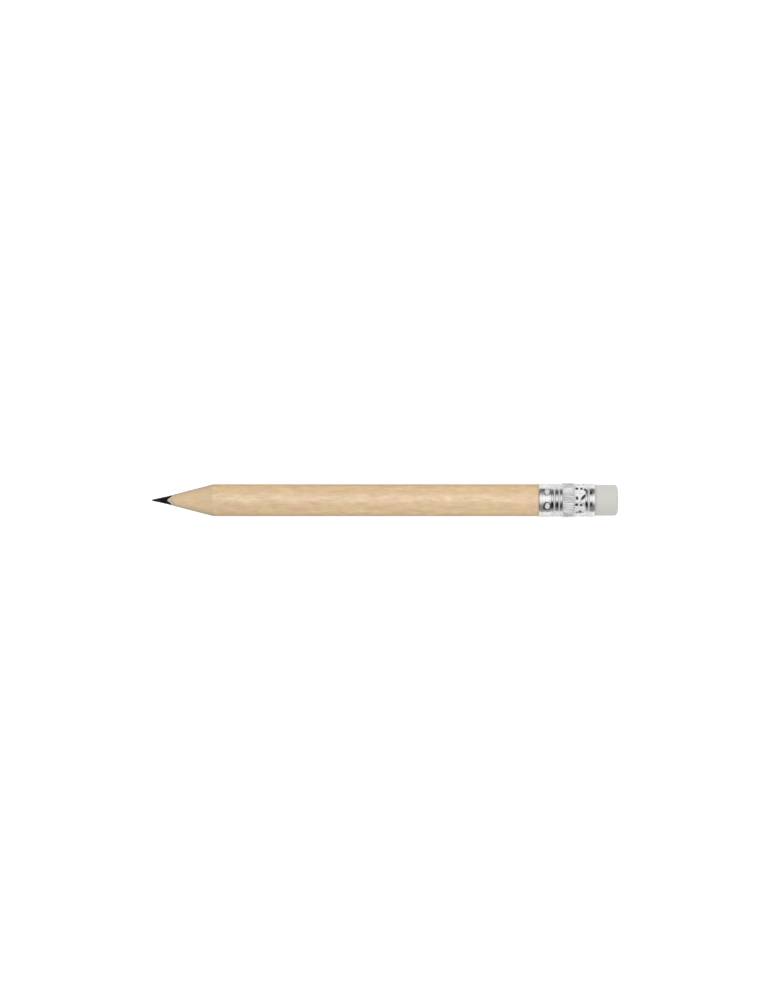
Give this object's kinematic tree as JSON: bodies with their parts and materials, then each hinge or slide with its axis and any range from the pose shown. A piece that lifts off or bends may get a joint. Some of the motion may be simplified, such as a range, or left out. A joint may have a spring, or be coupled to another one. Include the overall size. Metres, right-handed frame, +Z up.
{
  "type": "graphite pencil",
  "caption": "Short round natural-wood pencil, sharpened to a graphite point, with a crimped aluminium ferrule and a plug eraser.",
  "frame": {"origin": "on the resting plane, under the middle of the pencil's overall length and its axis", "axes": "+X along the pencil from the writing point to the eraser, +Z up, away from the surface it lies on; the glue plane between the slats is parallel to XY"},
  "size_m": [0.1018, 0.0076, 0.0075],
  "materials": {
    "wood": "satin",
    "graphite": "satin",
    "glue": "matte",
    "ferrule_metal": "polished",
    "eraser_rubber": "matte"
  },
  "bodies": {
    "root": {"upper_slat": "wood", "lower_slat": "wood", "graphite_core": "graphite", "glue_line": "glue", "ferrule": "ferrule_metal", "eraser": "eraser_rubber"}
  },
  "joints": []
}
